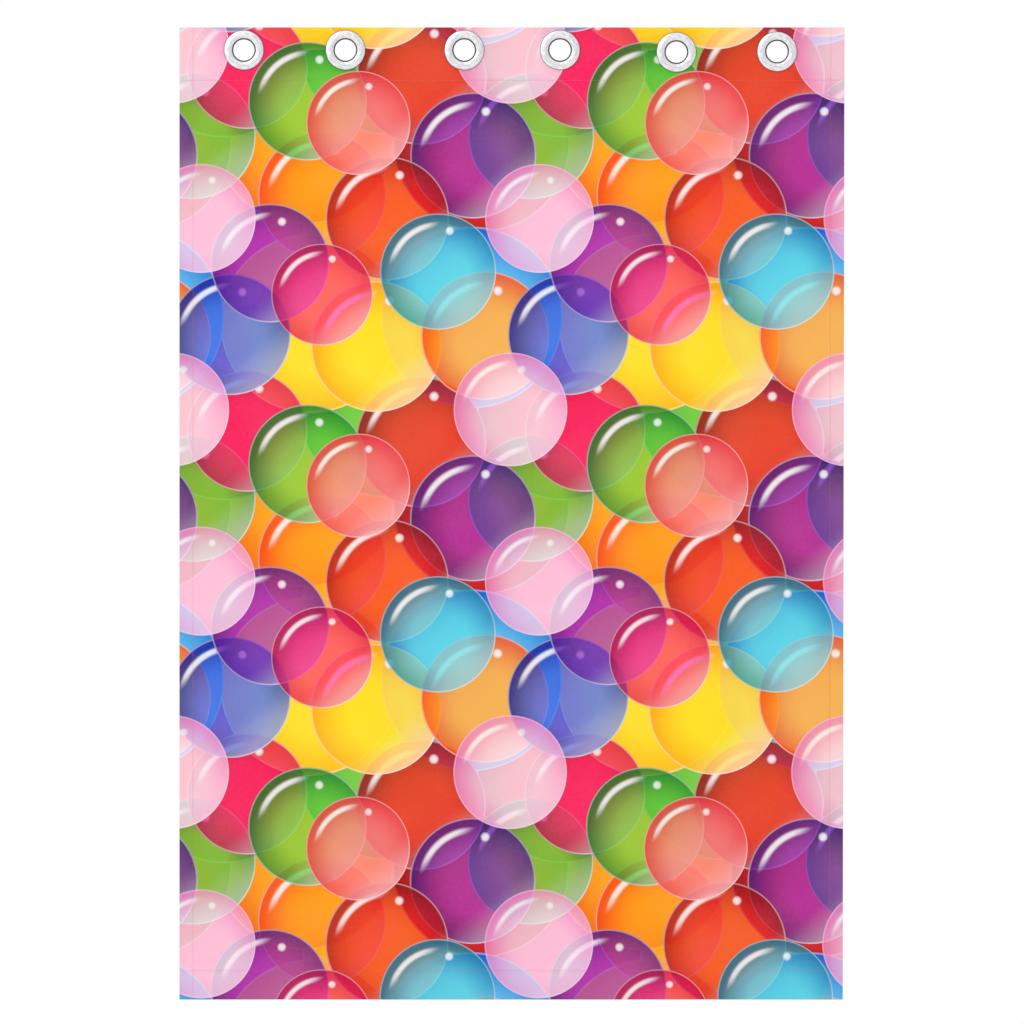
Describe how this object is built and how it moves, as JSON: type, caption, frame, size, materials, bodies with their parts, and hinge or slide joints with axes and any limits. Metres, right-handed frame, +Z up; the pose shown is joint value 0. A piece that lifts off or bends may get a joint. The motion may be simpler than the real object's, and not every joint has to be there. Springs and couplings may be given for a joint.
{
  "type": "printed eyelet curtain",
  "caption": "Flat hanging curtain of printed cloth with turned hems and a row of round metal eyelets through its heading, where a rod passes.",
  "frame": {"origin": "middle of the top edge, halfway through the thickness of the heading", "axes": "+Z up along the drop, +X to the right as seen from the printed face, and the printed face looks along -Y"},
  "size_m": [1.1, 0.0099, 1.608],
  "materials": {
    "printed_cloth": "matt woven polyester, printed all over on the front, paler on the back",
    "eyelet_metal": "satin nickel, finely brushed"
  },
  "bodies": {
    "root": {"curtain_panel": "printed_cloth", "heading_strip": "printed_cloth", "eyelet_front_1": "eyelet_metal", "eyelet_back_1": "eyelet_metal", "eyelet_front_2": "eyelet_metal", "eyelet_back_2": "eyelet_metal", "eyelet_front_3": "eyelet_metal", "eyelet_back_3": "eyelet_metal", "eyelet_front_4": "eyelet_metal", "eyelet_back_4": "eyelet_metal", "eyelet_front_5": "eyelet_metal", "eyelet_back_5": "eyelet_metal", "eyelet_front_6": "eyelet_metal", "eyelet_back_6": "eyelet_metal"}
  },
  "joints": []
}
